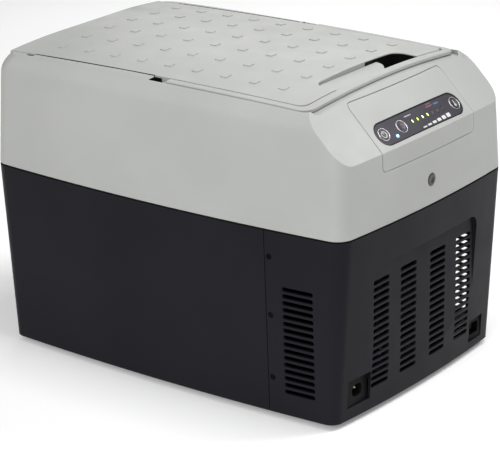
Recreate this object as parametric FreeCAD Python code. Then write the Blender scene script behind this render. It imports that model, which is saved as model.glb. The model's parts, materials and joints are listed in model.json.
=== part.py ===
import FreeCAD, Part
import math
import os

# Thermoelectric cool box. Millimetres, +Z up, origin under the middle of the body on
# the plane that the feet stand on. +X is the console end, the lid hinges at the -X end.

V = FreeCAD.Vector
Y_AXIS = V(0, 1, 0)
Z_AXIS = V(0, 0, 1)

# body
foot_height = 6.0
seam_z = 195.0                 # lower shell ends and upper shell starts here
shoulder_z = 284.0             # the walls start to turn over here
wall = 3.0
bay_x = 132.0                  # the technical bay is everything beyond this

length_seam, width_seam = 450.0, 303.0
length_bottom, width_bottom = 425.5, 292.4
length_draft, width_draft = 0.0486, 0.195      # both ends or sides together, per mm of height
side_radius, side_top_z = 20.0, 314.0          # long shoulders
end_radius, end_top_z = 30.0, 318.0            # hinge-end shoulder

# crowned top: an arc across Y carried along a long arc in X
crown_x, crown_z = 10.0, 321.2
crown_across, crown_along = 1040.0, 6000.0

# sloping console face at 45 degrees, bowed like the end wall below it
crease_x, crease_z = 223.2, 267.2
console_bow = 1220.0
ROOT2 = math.sqrt(2.0)

# lid
lid_half, lid_front_x, lid_corner = 118.5, 162.0, 10.0
front_bow = 3000.0
gap = 1.2                      # around the lid and the handle
deck_z = 304.0                 # floor of the lid pocket
hinge_x, hinge_z, roll_radius = -198.0, 304.5, 12.5
lid_swing = 95.0
notch_x, notch_half, notch_corner = 135.5, 69.5, 12.0
notch_trim, notch_trim_drop = 0.7, 1.0      # black lining of the finger gap, ending below the crown
notch_trim_from_y = 16.0
tread_pitch_x, tread_pitch_y, tread_size, tread_rise = 34.8, 36.5, 8.0, 1.1
tread_first_x, tread_columns, tread_rows = -162.0, 9, 6

# carry handle
handle_out, handle_front_x, handle_corner = 127.0, 173.0, 14.0
handle_in, handle_in_x, handle_in_corner = lid_half + gap, 163.2, 8.0
handle_deep, handle_lip, lip_x = 9.0, 4.0, 168.5
pivot_x, pivot_z, pivot_boss, pin_radius = -4.0, 304.5, 6.0, 2.5

# cool compartment
tub_x0, tub_x1, tub_half, tub_floor = -187.0, 97.0, 100.0, 42.0
tub_wall, tub_corner = 2.5, 20.0
plug_floor = 288.0             # underside of the lid's plug
bulkhead_x = 128.0

# console
cover_half, cover_bottom, cover_top = 79.0, 248.0, 308.2
pad_length, pad_height, pad_up = 143.0, 25.5, 17.7
key_radius = 6.2
key_places = {"power_key": -60.0, "mode_key": -31.0, "temperature_key": 62.0}
led_first_y, led_pitch, led_up = -12.0, 8.7, 18.0
led_half_long, led_half_high = 1.4, 2.3
status_y, status_up, status_radius = -44.0, 11.0, 1.2
plug_z, plug_radius = 220.0, 6.3

# thermoelectric stack, centred on this height
stack_z = 88.0
fan_size, fan_depth, fan_x = 92.0, 25.0, 165.6
cold_fan_size, cold_fan_depth, cold_fan_x = 60.0, 15.0, 63.9
shaft_radius = 1.5

# openings of the bay
slot_pitch, slot_height, slot_count, slot_first_z = 7.1, 4.4, 16, 31.0
side_slot_x = (150.5, 185.0)
grille_top = 157.0
column_edges = ((-86.0, -59.0), (-39.5, -12.0), (12.0, 39.5), (59.0, 86.0))
screw_x, screw_heights = 137.0, (43.0, 108.0, 168.0)
screw_head, screw_sink = 2.7, 2.0


# ---------------------------------------------------------------- helpers

def box(x0, x1, y0, y1, z0, z1):
    return Part.makeBox(x1 - x0, y1 - y0, z1 - z0, V(x0, y0, z0))


def rod(radius, start, end):
    run = end - start
    return Part.makeCylinder(radius, run.Length, start, run)


def ring(outer, inner, start, end):
    return rod(outer, start, end).cut(rod(inner, start, end))


def both_sides(shape):
    return shape.fuse(shape.mirror(V(0, 0, 0), Y_AXIS))


def rounded_box(x0, x1, y0, y1, z0, z1, corner):
    body = box(x0, x1, y0, y1, z0, z1)
    upright = [e for e in body.Edges if abs(e.tangentAt(e.FirstParameter).z) > 0.9]
    return body.makeFillet(corner, upright)


def rounded_prism(x0, x1, y0, y1, z0, z1, corner):
    """Block with its four edges along X rounded."""
    body = box(x0, x1, y0, y1, z0, z1)
    edges = [e for e in body.Edges if abs(e.tangentAt(e.FirstParameter).x) > 0.9]
    return body.makeFillet(corner, edges)


def arc(a, b, c):
    return Part.Arc(a, b, c).toShape()


def outline(z, length, width, sag_end, sag_side, corner):
    """Closed outline of four shallow arcs joined by four corner arcs."""
    side_r = ((length / 2) ** 2 + sag_side ** 2) / (2 * sag_side)
    end_r = ((width / 2) ** 2 + sag_end ** 2) / (2 * sag_end)
    side_c, end_c = V(0, width / 2 - side_r, z), V(length / 2 - end_r, 0, z)
    middle = corner_centre(side_c, side_r - corner, end_c, end_r - corner)
    on_side = side_c + (middle - side_c) * (side_r / (side_r - corner))
    on_end = end_c + (middle - end_c) * (end_r / (end_r - corner))
    between = middle + ((on_side + on_end) * 0.5 - middle).normalize() * corner

    def turned(p, sx, sy):
        return V(p.x * sx, p.y * sy, z)

    edges = []
    for sx, sy in ((1, 1), (1, -1), (-1, -1), (-1, 1)):
        corner_arc = [turned(p, sx, sy) for p in (on_side, between, on_end)]
        if sx != sy:
            corner_arc.reverse()
            edges.append(arc(*corner_arc))
            edges.append(arc(corner_arc[-1], V(0, sy * width / 2, z), turned(on_side, -sx, sy)))
        else:
            edges.append(arc(*corner_arc))
            edges.append(arc(corner_arc[-1], V(sx * length / 2, 0, z), turned(on_end, sx, -sy)))
    return Part.Wire(Part.__sortEdges__(edges))


def corner_centre(first, first_r, second, second_r):
    """Point in +X+Y at the two distances from the two centres."""
    across = second - first
    span = across.Length
    along = (first_r ** 2 - second_r ** 2 + span ** 2) / (2 * span)
    aside = math.sqrt(first_r ** 2 - along ** 2)
    unit = across * (1 / span)
    return first + unit * along + V(unit.y, -unit.x, 0) * aside


def quarter(z, radius, top):
    """How far a wall has turned inwards at height z."""
    rise = min(max(z - (top - radius), 0.0), radius)
    return radius - math.sqrt(radius ** 2 - rise ** 2)


def upper_outline(z, inset=0.0):
    lift = z - seam_z
    share = lift / (end_top_z - seam_z)
    end_in = quarter(z, end_radius, end_top_z) + inset
    side_in = quarter(z, side_radius, side_top_z) + inset
    return outline(z, length_seam - length_draft * lift - 2 * end_in,
                   width_seam - width_draft * lift - 2 * side_in,
                   7.6 - 1.6 * share, 10.4 - 5.4 * share, 18.0 + 3.0 * share - inset)


def lower_outline(z, inset=0.0):
    share = (z - foot_height) / (seam_z - foot_height)
    return outline(z, length_bottom + (length_seam - length_bottom) * share - 2 * inset,
                   width_bottom + (width_seam - width_bottom) * share - 2 * inset,
                   7.6, 7.6 + 2.8 * share, 12.0 + 6.0 * share - inset)


def above_crown(drop):
    """Everything above the crowned top, or above its parallel this far below it."""
    radius = crown_across - drop
    reach = 190.0
    rim = math.sqrt(radius ** 2 - reach ** 2)
    low = crown_z - crown_across
    top = crown_z + 60.0
    left, right = V(crown_x, -reach, low + rim), V(crown_x, reach, low + rim)
    profile = Part.Face(Part.Wire([
        arc(left, V(crown_x, 0, low + radius), right),
        Part.makeLine(right, V(crown_x, reach, top)),
        Part.makeLine(V(crown_x, reach, top), V(crown_x, -reach, top)),
        Part.makeLine(V(crown_x, -reach, top), left)]))
    hub = V(crown_x, 0, crown_z - crown_along)
    swing = math.degrees(250.0 / crown_along)
    profile.rotate(hub, Y_AXIS, -swing)
    return profile.revolve(hub, Y_AXIS, 2 * swing)


def crown_layer(upper_drop, lower_drop):
    return above_crown(lower_drop).cut(above_crown(upper_drop))


def console_layer(outer, inner):
    """Slab that follows the console face, between two depths outside (+) or inside (-) it."""
    z = crease_z - 70.0
    reach = 155.0

    def bowed(out):
        x = crease_x + 70.0 + out * ROOT2
        sag = reach ** 2 / (2 * console_bow)
        return [V(x - sag, -reach, z), V(x, 0, z), V(x - sag, reach, z)]

    front, back = bowed(outer), bowed(inner)
    plan = Part.Face(Part.Wire([arc(*front), Part.makeLine(front[2], back[2]),
                                arc(back[2], back[1], back[0]), Part.makeLine(back[0], front[0])]))
    return plan.extrude(V(-140, 0, 140))


def on_console(face):
    """Carry a face drawn in XY onto the console: its X runs along Y, its Y runs up the slope."""
    h = 1 / ROOT2
    frame = FreeCAD.Matrix(0, -h, h, crease_x, 1, 0, 0, 0, 0, h, h, crease_z, 0, 0, 0, 1)
    prism = face.extrude(V(0, 0, 60))
    prism.translate(V(0, 0, -30))
    prism.Placement = FreeCAD.Placement(frame).multiply(prism.Placement)
    return prism


def flat_rectangle(x0, x1, y0, y1):
    return Part.Face(Part.makePolygon([V(x0, y0), V(x1, y0), V(x1, y1), V(x0, y1), V(x0, y0)]))


def flat_stadium(cx, cy, long, high):
    r = high / 2
    half = long / 2 - r
    a, b = V(cx - half, cy - r), V(cx + half, cy - r)
    c, d = V(cx + half, cy + r), V(cx - half, cy + r)
    return Part.Face(Part.Wire([Part.makeLine(a, b), arc(b, V(cx + half + r, cy), c),
                                Part.makeLine(c, d), arc(d, V(cx - half - r, cy), a)]))


def flat_disc(cx, cy, radius):
    return Part.Face(Part.Wire(Part.makeCircle(radius, V(cx, cy, 0))))


def bowed_plan(back_x, half, front_x, corner, z0, z1):
    """Prism with a straight back, two straight sides and a bowed front with round corners."""
    c = V(front_x - front_bow, 0, z0)
    reach = math.sqrt((front_bow - corner) ** 2 - (half - corner) ** 2)
    middle = V(c.x + reach, half - corner, z0)
    on_side = V(middle.x, half, z0)
    on_front = c + (middle - c) * (front_bow / (front_bow - corner))
    between = middle + ((on_side + on_front) * 0.5 - middle).normalize() * corner

    def low(p):
        return V(p.x, -p.y, z0)

    edges = [Part.makeLine(V(back_x, half, z0), on_side), arc(on_side, between, on_front),
             arc(on_front, V(front_x, 0, z0), low(on_front)),
             arc(low(on_front), low(between), low(on_side)),
             Part.makeLine(low(on_side), V(back_x, -half, z0)),
             Part.makeLine(V(back_x, -half, z0), V(back_x, half, z0))]
    return Part.Face(Part.Wire(edges)).extrude(V(0, 0, z1 - z0))


def save(name, shape):
    solids = shape.Solids
    result = solids[0] if len(solids) == 1 else Part.makeCompound(solids)
    result.exportStep("parts/" + name + ".step")
    print(name, len(solids), round(sum(s.Volume for s in solids) / 1000, 1))


# ---------------------------------------------------------------- housings

def upper_envelope():
    walls = Part.makeLoft([upper_outline(seam_z + 0.5), upper_outline(shoulder_z)], True, True)
    levels = (shoulder_z, 290, 296, 301, 305, 309, 312, 314, 316, 318)
    turn = Part.makeLoft([upper_outline(z) for z in levels], True, False)
    lid_above = Part.makeLoft([upper_outline(318), upper_outline(330)], True, True)
    return walls.fuse([turn, lid_above]).cut(above_crown(0)).cut(console_layer(120, 0))


def upper_cavity(inset, top_z, console_inset):
    walls = Part.makeLoft([upper_outline(seam_z, inset), upper_outline(shoulder_z, inset)], True, True)
    turn = Part.makeLoft([upper_outline(z, inset) for z in (shoulder_z, 293, top_z)], True, True)
    return walls.fuse(turn).cut(console_layer(120, -console_inset))


def lower_block(inset, z0, z1):
    return Part.makeLoft([lower_outline(z0, inset), lower_outline(z1, inset)], True, True)


def lid_roll(radius, reach):
    return rod(radius, V(hinge_x, -reach, hinge_z), V(hinge_x, reach, hinge_z))


def lid_swept():
    """Room behind the hinge that the lid's top takes when it stands fully open."""
    leaf = box(hinge_x, hinge_x + 60, -lid_half - gap, lid_half + gap, hinge_z - 4, hinge_z + 14.2)
    leaf.rotate(V(hinge_x, 0, hinge_z), Y_AXIS, -lid_swing)
    return leaf


def handle_space():
    """Rebate for the folded handle, parallel to the crown, with room for its pivot ends."""
    deep = bowed_plan(-19.0, handle_out + gap, lip_x + gap, handle_corner - 3, 290, 330)
    deep = deep.common(above_crown(handle_deep + 0.6))
    lip = bowed_plan(-19.0, handle_out + gap, 180.0, handle_corner, 290, 330)
    lip = lip.common(above_crown(handle_lip + 0.6))
    ends = both_sides(box(-19, 20, handle_in - 0.2, handle_out + gap, pivot_z - 7.2, 330))
    return deep.fuse([lip, ends])


def console_window(clearance):
    """Straight prism along X whose outline is the front view of the console cover."""
    half = cover_half + clearance
    return rounded_prism(175.0, 240.0, -half, half, cover_bottom - clearance, cover_top + clearance,
                         5.0 + clearance)


def make_upper_housing(envelope, cavity):
    shell = envelope.cut(cavity)
    trough = box(-215, -190.5, -123, 123, 288.5, 302).common(envelope)
    pockets = both_sides(box(-23, 23, 115.5, 131, 294, 302))
    shell = shell.fuse([trough, pockets])
    lid_pocket = bowed_plan(hinge_x, lid_half + gap, lid_front_x + gap, lid_corner, deck_z, 330)
    shell = shell.cut(lid_pocket.fuse(lid_roll(roll_radius + gap, lid_half + gap)))
    shell = shell.cut(box(hinge_x, -193.0, -lid_half - gap, lid_half + gap, 291.3, 330))
    shell = shell.cut(lid_swept())
    tub_hole = rounded_box(tub_x0 - tub_wall - 0.3, tub_x1 + tub_wall + 0.3, -tub_half - tub_wall - 0.3,
                           tub_half + tub_wall + 0.3, 280, 330, tub_corner + 2.5)
    well_hole = rounded_box(134.7, 162.3, -71.3, 71.3, 280, 330, 8)
    shell = shell.cut([handle_space(), tub_hole, well_hole, console_window(0.5)])
    hinge_bore = rod(3.25, V(hinge_x, -124.6, hinge_z), V(hinge_x, 124.6, hinge_z))
    pivot_bore = rod(4.0, V(pivot_x, -133.2, pivot_z), V(pivot_x, 133.2, pivot_z))
    hinge_notch = both_sides(box(-184, -174, lid_half, 123.5, 305, 330))
    plug_seat = rod(plug_radius + 0.2, V(222.4, 0, plug_z), V(240, 0, plug_z))
    plug_bore = rod(4.2, V(200, 0, plug_z), V(240, 0, plug_z))
    return shell.cut([hinge_bore, pivot_bore, hinge_notch, plug_seat, plug_bore])


def make_console_cover(envelope, cavity):
    cover = envelope.cut(cavity).common(console_window(0.0))
    return cover.cut(on_console(flat_stadium(0, pad_up, pad_length + 0.6, pad_height + 0.6)))


def make_keypad_panel():
    plate = on_console(flat_stadium(0, pad_up, pad_length, pad_height)).common(console_layer(-0.9, -3.2))
    flange = on_console(flat_stadium(0, pad_up, pad_length + 4, pad_height + 4)).common(
        console_layer(-3.05, -4.2))
    plate = plate.fuse(flange)
    holes = [on_console(flat_disc(y, pad_up, key_radius + 0.9)) for y in key_places.values()]
    holes += [led_window(i) for i in range(7)]
    holes.append(on_console(flat_disc(status_y, status_up, status_radius + 0.1)))
    return plate.cut(holes)


def led_window(i, clearance=0.1):
    y = led_first_y + led_pitch * i
    w, h = led_half_long + clearance, led_half_high + clearance
    return on_console(flat_rectangle(y - w, y + w, led_up - h, led_up + h))


def make_key(y):
    cap = on_console(flat_disc(y, pad_up, key_radius)).common(console_layer(-0.3, -3.0))
    stem = on_console(flat_disc(y, pad_up, 2.0)).common(console_layer(-2.9, -6.2))
    return cap.fuse(stem)


def make_key_rings():
    rings = []
    for y in key_places.values():
        tube = flat_disc(y, pad_up, key_radius + 0.85).cut(flat_disc(y, pad_up, key_radius + 0.35))
        rings.append(on_console(tube).common(console_layer(-0.5, -3.0)))
    return Part.makeCompound(rings)


def make_leds(first, last):
    return Part.makeCompound([led_window(i, 0).common(console_layer(-0.7, -3.0)) for i in range(first, last)])


def make_lower_housing():
    shell = lower_block(0, foot_height, seam_z - 1.0).cut(lower_block(wall, foot_height + wall, seam_z + 1))
    shell = shell.cut(box(bay_x - 0.3, 300, -200, 200, 0, 250))
    back = lower_block(wall - 0.5, foot_height + 1, seam_z - 1.0).common(
        box(bulkhead_x, bulkhead_x + 3, -200, 200, 0, 250))
    window = box(bulkhead_x - 1, bulkhead_x + 4, -53, 53, stack_z - 53, stack_z + 53)
    loom_hole = rod(6, V(bulkhead_x - 1, 70, 170), V(bulkhead_x + 4, 70, 170))
    shell = shell.fuse(back).cut([window, loom_hole])
    lugs = []
    for z in screw_heights:
        lug = lower_block(wall + 0.4, z - 7, z + 7).cut(lower_block(wall + 4.4, z - 8, z + 8))
        lugs.append(lug.common(box(bulkhead_x, screw_x + 7, -200, 200, z - 7, z + 7)))
    shell = shell.fuse(lugs)
    return shell.cut([screw_bore(z, 1.55) for z in screw_heights]).cut(foot_bores(2.0))


def screw_bore(z, radius):
    return rod(radius, V(screw_x, -200, z), V(screw_x, 200, z))


def foot_places():
    return [V(x, y, 0) for x in (-185, 185) for y in (-115, 115)]


def foot_bores(radius):
    return Part.makeCompound([rod(radius, p + V(0, 0, 3), p + V(0, 0, 12)) for p in foot_places()])


def slot_block(axis, a, b, z):
    """Cutter for one round-ended louvre slot; it runs along the other level axis."""
    r = slot_height / 2
    if axis == "x":
        body = box(a + r, b - r, -160, 160, z - r, z + r)
        return body.fuse([rod(r, V(e, -160, z), V(e, 160, z)) for e in (a + r, b - r)])
    body = box(200, 240, a + r, b - r, z - r, z + r)
    return body.fuse([rod(r, V(200, e, z), V(240, e, z)) for e in (a + r, b - r)])


def grille_recess(inset, side):
    """Dished recess of the end wall: deepest at its top edge and running out at the bottom."""
    half = 91.0 + side
    top = grille_top + side
    profile = Part.Face(Part.makePolygon([
        V(215.5 - inset, -half, top), V(240, -half, top), V(240, -half, 16), V(214.2 - inset, -half, 16),
        V(215.5 - inset, -half, top)]))
    body = profile.extrude(V(0, 2 * half, 0))
    edges = [e for e in body.Edges if abs(e.tangentAt(e.FirstParameter).x) > 0.8
             and e.BoundBox.ZMin > top - 1]
    return body.makeFillet(12.0 + side, edges)


def make_end_cover():
    outer = lower_block(0, foot_height, seam_z - 1.0)
    inner = lower_block(wall, foot_height + wall, seam_z + 1)
    dish, dish_back = grille_recess(0, 0), grille_recess(wall, wall)
    shell = outer.cut(inner).fuse(dish_back.common(inner)).cut(dish)
    shell = shell.cut(box(-300, bay_x + 0.3, -200, 200, 0, 250))
    slots = []
    for i in range(slot_count):
        z = slot_first_z + slot_pitch * i
        slots.append(slot_block("x", side_slot_x[0], side_slot_x[1], z))
        slots += [slot_block("y", a, b, z) for a, b in column_edges]
    shell = shell.cut(slots)
    shell = shell.cut([ac_room(0.3), dc_room(0.3)])
    for z in screw_heights:
        seat = rod(screw_head + 0.3, V(screw_x, screw_seat(z) - 0.1, z), V(screw_x, 200, z))
        shell = shell.cut([screw_bore(z, 1.8), both_sides(seat)])
    return shell.cut(foot_bores(2.0))


def ac_room(c):
    return box(196, 240, -121 - c, -87 + c, 19 - c, 47 + c)


def dc_room(c):
    return box(196, 240, 92 - c, 117.5 + c, 15 - c, 38 + c)


def make_ac_inlet():
    body = box(184, 207.8, -121, -87, 19, 47)
    well = rounded_prism(190, 230, -112, -96, 27, 39, 5.5)
    return body.cut(well)


def make_ac_pins():
    return Part.makeCompound([rod(1.2, V(190, y, 33), V(203, y, 33)) for y in (-107.5, -100.5)])


def make_dc_inlet():
    body = box(186, 208.0, 92, 117.5, 15, 38)
    return body.cut(rounded_prism(192, 230, 97, 112.5, 20.5, 32.5, 2.0))


def make_dc_pins():
    blades = [box(192, 203, y - 0.4, y + 0.4, 23, 30) for y in (101, 108.5)]
    return Part.makeCompound(blades)


def make_seam_seal():
    band = lower_block(1.4, seam_z - 1.0, seam_z + 0.5)
    return band.cut(lower_block(4.0, seam_z - 2, seam_z + 2))


# ---------------------------------------------------------------- compartment and insulation

def make_inner_liner():
    tub = rounded_box(tub_x0 - tub_wall, tub_x1 + tub_wall, -tub_half - tub_wall, tub_half + tub_wall,
                      tub_floor - tub_wall, deck_z, tub_corner + tub_wall)
    rim = rounded_box(-190, 107.5, -110.5, 110.5, deck_z, deck_z + 1.5, tub_corner)
    space = rounded_box(tub_x0, tub_x1, -tub_half, tub_half, tub_floor, 330, tub_corner)
    port = box(tub_x1 - 1, tub_x1 + 5, -20.5, 20.5, stack_z - 20.5, stack_z + 20.5)
    return tub.fuse(rim).cut([space, port, clamp_bores(1.9)])


def make_foam():
    low = lower_block(wall + 0.3, foot_height + wall + 0.3, seam_z)
    high = upper_cavity(wall + 0.3, 300.7, 8.0).common(box(-300, 300, -200, 200, seam_z + 0.5, 310))
    neck = lower_block(wall + 1.3, seam_z - 2, seam_z + 2)
    foam = low.common(box(-300, 300, -200, 200, 0, seam_z - 1.3)).fuse([high, neck])
    tub = rounded_box(tub_x0 - tub_wall - 0.3, tub_x1 + tub_wall + 0.3, -tub_half - tub_wall - 0.3,
                      tub_half + tub_wall + 0.3, tub_floor - tub_wall - 0.3, 330, tub_corner + 2.5)
    stack_port = box(90, 140, -21, 21, stack_z - 21, stack_z + 21)
    module_port = box(122.8, 140, -31, 31, stack_z - 31, stack_z + 31)
    loom_port = rod(6, V(90, 70, 170), V(140, 70, 170))
    trough = box(-216, -190.2, -123.3, 123.3, 288.2, 310)
    pockets = both_sides(box(-23.3, 23.3, 115.2, 134.0, 293.7, 310))
    ends = box(bulkhead_x - 0.9, 300, -200, 200, 0, 330)
    ports = [stack_port, module_port, loom_port, clamp_bores(1.9)]
    return foam.cut([tub, trough, pockets, ends] + ports).cut(foot_bores(5.0))


def make_finger_well():
    cup = rounded_box(135, 162, -71, 71, 284, deck_z, 7.7)
    lip = rounded_box(133.5, 161.2, -72.5, 72.5, deck_z, deck_z + 0.4, 8)
    return cup.fuse(lip).cut(rounded_box(137, 160, -69, 69, 286, 320, 6))


# ---------------------------------------------------------------- lid

def lid_block(inset, top_drop, z0):
    """The lid's volume, moved inwards all round by inset."""
    plan = bowed_plan(hinge_x, lid_half - inset, lid_front_x - inset, lid_corner - inset, z0, 330)
    roll = lid_roll(roll_radius - inset, lid_half - inset).common(box(-230, hinge_x, -150, 150, z0, 330))
    return plan.fuse(roll).cut(above_crown(top_drop)).cut(notch_prism(inset))


def notch_prism(grow):
    x0, half = notch_x - grow, notch_half + grow
    body = box(x0, 200, -half, half, 270, 330)
    edges = [e for e in body.Edges if abs(e.tangentAt(e.FirstParameter).z) > 0.9 and e.BoundBox.XMax < 190]
    return body.makeFillet(notch_corner, edges)


def make_notch_trim():
    """Lining down the lid's notch beside the finger gap; the grip keeps clear of it."""
    lining = notch_prism(0).cut(notch_prism(-notch_trim))
    lining = lining.common(box(notch_x - 1, lid_front_x - 1, notch_trim_from_y, lid_half, deck_z + 0.8, 330))
    return lining.cut(above_crown(notch_trim_drop))


def tread_marks():
    raised = above_crown(-0.01 - tread_rise)
    base = above_crown(0.6)
    half = tread_size / 2
    marks = []
    for i in range(tread_columns):
        x = tread_first_x + tread_pitch_x * i
        for row in range(tread_rows):
            y = tread_pitch_y * (row - (tread_rows - 1) / 2)
            marks.append(box(x - half, x + half, y - half, y + half, 300, 330))
    return Part.makeCompound(marks).common(base.cut(raised))


def make_lid_shell():
    shell = lid_block(0, 0, deck_z + 0.8).cut(lid_block(wall, wall, deck_z - 5))
    ears = both_sides(rod(7.0, V(hinge_x, 110, hinge_z), V(hinge_x, lid_half, hinge_z)))
    ears = ears.common(box(-230, -180, -150, 150, deck_z + 0.8, 330)).cut(above_crown(1.0))
    shell = shell.fuse(ears).fuse(tread_marks())
    return shell.cut(rod(2.0, V(hinge_x, -130, hinge_z), V(hinge_x, 130, hinge_z)))


def make_lid_liner():
    flange = bowed_plan(-186, lid_half - wall - 0.2, lid_front_x - wall - 0.2, 7, 307.8, 309.6)
    flange = flange.cut([notch_prism(wall + 0.2), above_crown(wall + 0.3)])
    tray = rounded_box(-183, 93, -96.5, 96.5, plug_floor, 309.6, 18)
    return flange.fuse(tray).cut(rounded_box(-181, 91, -94.5, 94.5, plug_floor + 2, 320, 16))


def make_lid_foam():
    slab = lid_block(wall + 0.3, wall + 0.3, 309.8).cut(box(-230, -189, -150, 150, 280, 330))
    plug = rounded_box(-180.7, 90.7, -94.2, 94.2, plug_floor + 2.3, 310.5, 16)
    return slab.fuse(plug)


def make_lid_seal():
    outer = rounded_box(-187.5, 105, -108, 108, 305.8, 307.8, 20)
    return outer.cut(rounded_box(-183.5, 101, -104, 104, 300, 320, 17))


def make_lid_pins():
    return both_sides(rod(2.0, V(hinge_x, 111, hinge_z), V(hinge_x, 124.3, hinge_z)))


def make_lid_bushes():
    return both_sides(ring(3.25, 2.05, V(hinge_x, lid_half + gap + 0.1, hinge_z), V(hinge_x, 124.5, hinge_z)))


# ---------------------------------------------------------------- handle

def make_carry_handle():
    outer_deep = bowed_plan(1.0, handle_out, lip_x, handle_corner - 3, 280, 330).common(
        crown_layer(0, handle_deep))
    outer_lip = bowed_plan(1.0, handle_out, handle_front_x, handle_corner, 280, 330).common(
        crown_layer(0, handle_lip))
    inner = bowed_plan(-30.0, handle_in, handle_in_x, handle_in_corner, 270, 340)
    bow = outer_deep.fuse(outer_lip).cut(inner)
    ends = both_sides(box(pivot_x, 16, handle_in, handle_out, pivot_z - 5.0, pivot_z + 4.5).fuse(
        rod(pivot_boss, V(pivot_x, handle_in, pivot_z), V(pivot_x, handle_out, pivot_z))))
    handle = bow.fuse([ends, handle_grip()])
    return handle.cut(both_sides(rod(pin_radius, V(pivot_x, 121, pivot_z), V(pivot_x, 140, pivot_z))))


def handle_grip():
    """Flat grip that reaches back from the crossbar and leaves a finger gap at one end."""
    x0 = notch_x + 1.5
    left = -notch_half + 1.3
    r = 10.0
    k = r * (1 - math.sqrt(0.5))
    edges = [arc(V(x0 + r, left, 311), V(x0 + k, left + k, 311), V(x0, left + r, 311)),
             Part.makeLine(V(x0, left + r, 311), V(x0, 33, 311)),
             arc(V(x0, 33, 311), V(x0 + 9, 30, 311), V(x0 + 17, 22, 311)),
             arc(V(x0 + 17, 22, 311), V(x0 + 21, 18.6, 311), V(x0 + 26, 17.4, 311)),
             Part.makeLine(V(x0 + 26, 17.4, 311), V(167, 17.4, 311)),
             Part.makeLine(V(167, 17.4, 311), V(167, left, 311)),
             Part.makeLine(V(167, left, 311), V(x0 + r, left, 311))]
    plate = Part.Face(Part.Wire(edges)).extrude(V(0, 0, 5.0))
    return plate.cut(above_crown(0.4))


def make_handle_pins():
    return both_sides(rod(pin_radius, V(pivot_x, 121, pivot_z), V(pivot_x, 133, pivot_z)))


def make_handle_bushes():
    return both_sides(ring(4.0, pin_radius + 0.05, V(pivot_x, handle_out + gap + 0.1, pivot_z),
                           V(pivot_x, 133.2, pivot_z)))


# ---------------------------------------------------------------- thermoelectric stack

def fan_frame(size, depth, x):
    half = size / 2
    frame = rounded_box_x(x, x + depth, half, 5.0)
    bore = rod(half - 2.0, V(x - 1, 0, stack_z), V(x + depth + 1, 0, stack_z))
    waist = fan_frame_waist(size, depth, x)
    hub = rod(size * 0.2, V(x + depth - 3, 0, stack_z), V(x + depth, 0, stack_z))
    arms = []
    for i in range(4):
        arm = box(x + depth - 3, x + depth, -2, 2, stack_z, stack_z + half - 1)
        arm.rotate(V(0, 0, stack_z), V(1, 0, 0), 45 + 90 * i)
        arms.append(arm)
    holes = [rod(2.2, p, p + V(depth + 2, 0, 0)) for p in fan_corners(size, x - 1)]
    holes.append(rod(shaft_radius + 0.06, V(x, 0, stack_z), V(x + depth + 1, 0, stack_z)))
    return frame.cut([bore, waist]).fuse([hub] + arms).cut(holes)


def fan_frame_waist(size, depth, x):
    half = size / 2
    block = box(x + 4, x + depth - 4, -half - 1, half + 1, stack_z - half - 1, stack_z + half + 1)
    return block.cut(rod(half - 0.2, V(x, 0, stack_z), V(x + depth, 0, stack_z)))


def fan_corners(size, x):
    reach = size / 2 - 5.0
    return [V(x, sy * reach, stack_z + sz * reach) for sy in (-1, 1) for sz in (-1, 1)]


def rounded_box_x(x0, x1, half, corner):
    return rounded_prism(x0, x1, -half, half, stack_z - half, stack_z + half, corner)


def fan_rotor(size, depth, x):
    hub_r, tip_r = size * 0.2, size / 2 - 3.2
    span = depth - 4.6
    hub = rod(hub_r, V(x + 0.8, 0, stack_z), V(x + 0.8 + span, 0, stack_z))
    blade = box(x + 1.2, x + 0.4 + span, -0.7, 0.7, stack_z + hub_r - 1.5, stack_z + tip_r)
    blade.rotate(V(x + depth / 2, 0, stack_z), Z_AXIS, 38)
    blade = blade.common(rod(tip_r, V(x + 1.0, 0, stack_z), V(x + 0.6 + span, 0, stack_z)))
    blades = []
    for i in range(7):
        turned = blade.copy()
        turned.rotate(V(0, 0, stack_z), V(1, 0, 0), 360.0 / 7 * i)
        blades.append(turned)
    shaft = rod(shaft_radius, V(x + 2, 0, stack_z), V(x + depth - 0.3, 0, stack_z))
    return hub.fuse(blades + [shaft])


def make_hot_heatsink():
    half = 50.0
    base = box(127.4, 133.4, -half, half, stack_z - half, stack_z + half)
    pitch = (2 * half - 1.2) / 20
    fins = [box(133.4, 163.5, y - 0.6, y + 0.6, stack_z - half, stack_z + half)
            for y in [-half + 0.6 + pitch * i for i in range(21)]]
    return base.fuse(fins).cut(clamp_bores(1.6))


def clamp_places():
    return [V(0, sy * 27.17, stack_z + sz * 27.0) for sy in (-1, 1) for sz in (-1, 1)]


def clamp_bores(radius):
    return Part.makeCompound([rod(radius, V(91, p.y, p.z), V(136, p.y, p.z)) for p in clamp_places()])


def make_cold_heatsink():
    base = box(92.0, 96.8, -36, 36, stack_z - 42, stack_z + 42)
    fins = [box(79, 92, -35.4 + 5.9 * i - 0.6, -35.4 + 5.9 * i + 0.6, stack_z - 42, stack_z + 42)
            for i in range(13)]
    return base.fuse(fins).cut(clamp_bores(1.5))


def make_cold_fan_cover():
    x0 = 54.0
    shell = rounded_prism(x0, 96.9, -44, 44, stack_z - 45.9, stack_z + 62, 6).cut(
        rounded_prism(x0 + 2, 100, -42, 42, stack_z - 43.9, stack_z + 60, 4))
    cuts = []
    for i in range(9):
        z = stack_z - 24 + 6 * i
        half = math.sqrt(27.5 ** 2 - (z - stack_z) ** 2)
        cuts.append(box(x0 - 1, x0 + 3, -half, half, z - 1.6, z + 1.6))
    for i in range(12):
        y = -33 + 6 * i
        cuts.append(box(78, 93, y - 1.6, y + 1.6, stack_z + 58, stack_z + 64))
    return shell.cut(cuts)


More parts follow.
